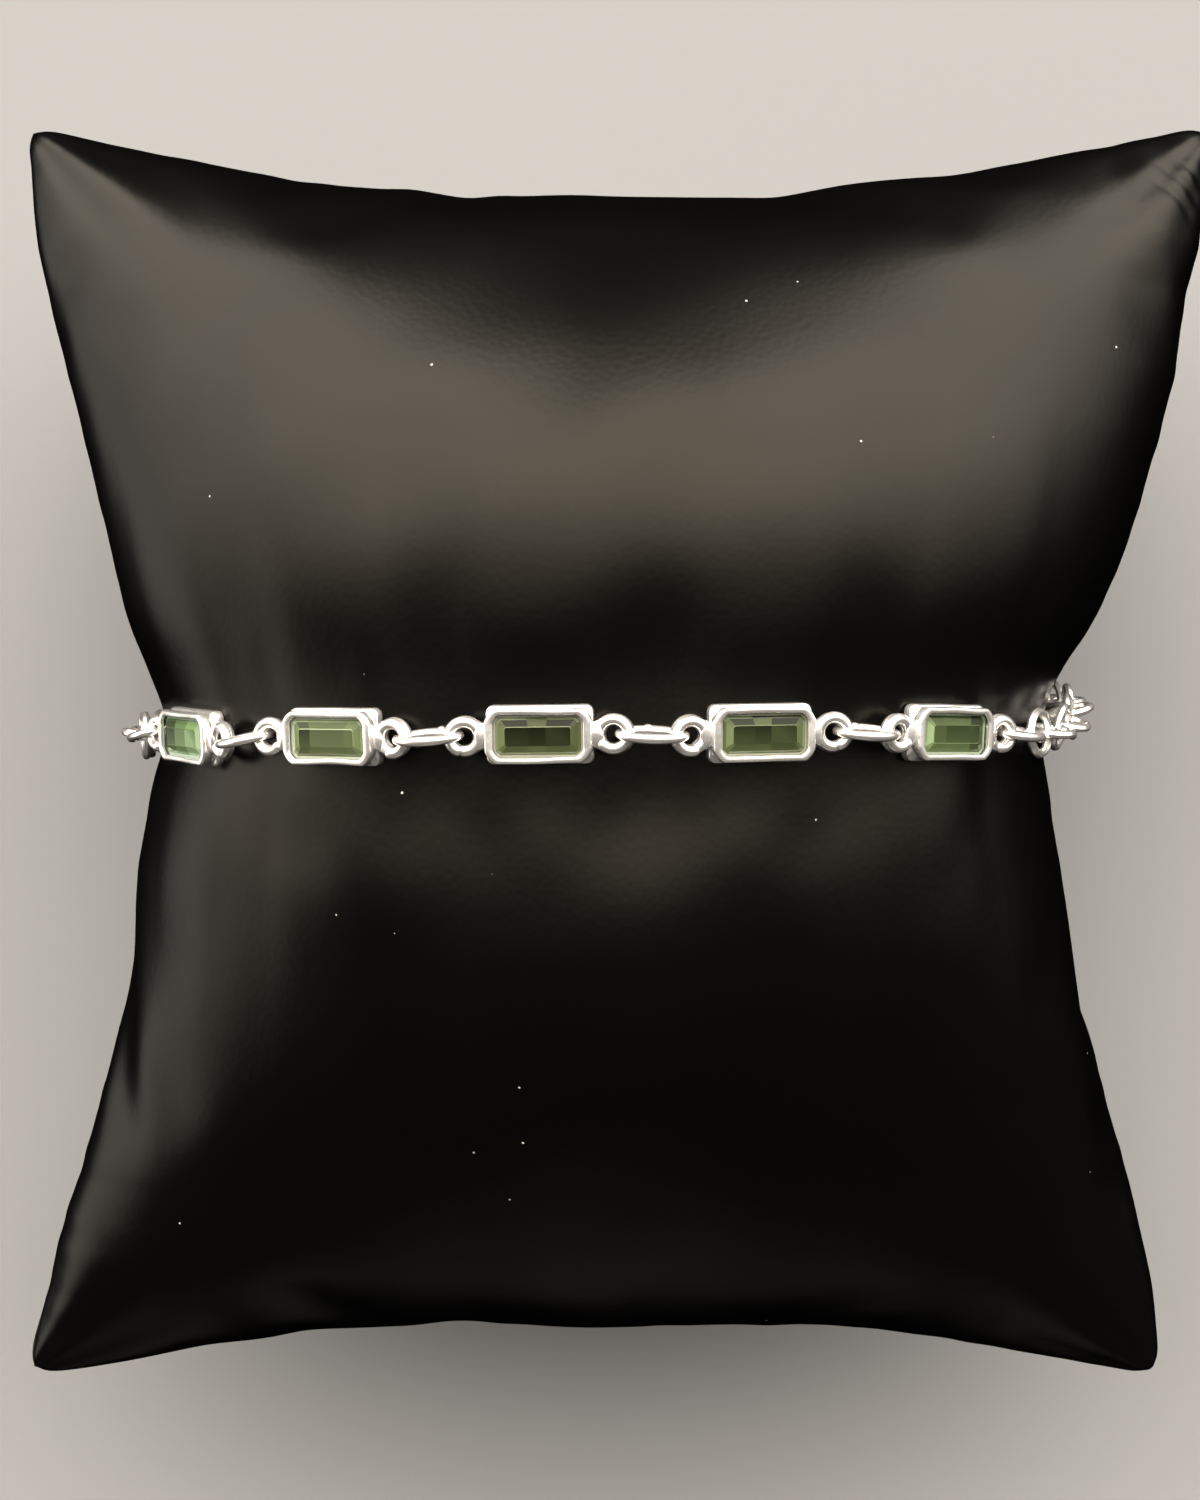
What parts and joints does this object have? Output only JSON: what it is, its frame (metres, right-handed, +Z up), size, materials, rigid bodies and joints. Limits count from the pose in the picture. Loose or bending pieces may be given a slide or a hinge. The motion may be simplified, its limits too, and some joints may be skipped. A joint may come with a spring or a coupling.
{
  "type": "link bracelet on a display pillow",
  "caption": "Link bracelet of bezel-set step-cut stones joined by long links and a fine back chain, fastened round the pinched waist of a small display pillow.",
  "frame": {"origin": "under the middle of the bracelet and pillow together, on the surface that the pillow's back rests on", "axes": "+X along the front of the bracelet, +Y along the pillow, +Z up out of the stones"},
  "size_m": [0.0896, 0.0944, 0.052],
  "materials": {
    "polished_silver": "polished sterling silver, hand finished",
    "peridot_stone": "faceted and polished, clear yellow-green",
    "pillow_cover": "smooth black leatherette with a soft sheen"
  },
  "bodies": {
    "root": {"display_pillow": "pillow_cover", "setting_1": "polished_silver", "setting_2": "polished_silver", "setting_3": "polished_silver", "setting_4": "polished_silver", "setting_5": "polished_silver", "stone_1": "peridot_stone", "stone_2": "peridot_stone", "stone_3": "peridot_stone", "stone_4": "peridot_stone", "stone_5": "peridot_stone", "long_link_1": "polished_silver", "long_link_2": "polished_silver", "long_link_3": "polished_silver", "long_link_4": "polished_silver", "long_link_5": "polished_silver", "long_link_6": "polished_silver", "clasp": "polished_silver", "catch_ring": "polished_silver", "chain_right": "polished_silver", "chain_left": "polished_silver"}
  },
  "joints": []
}
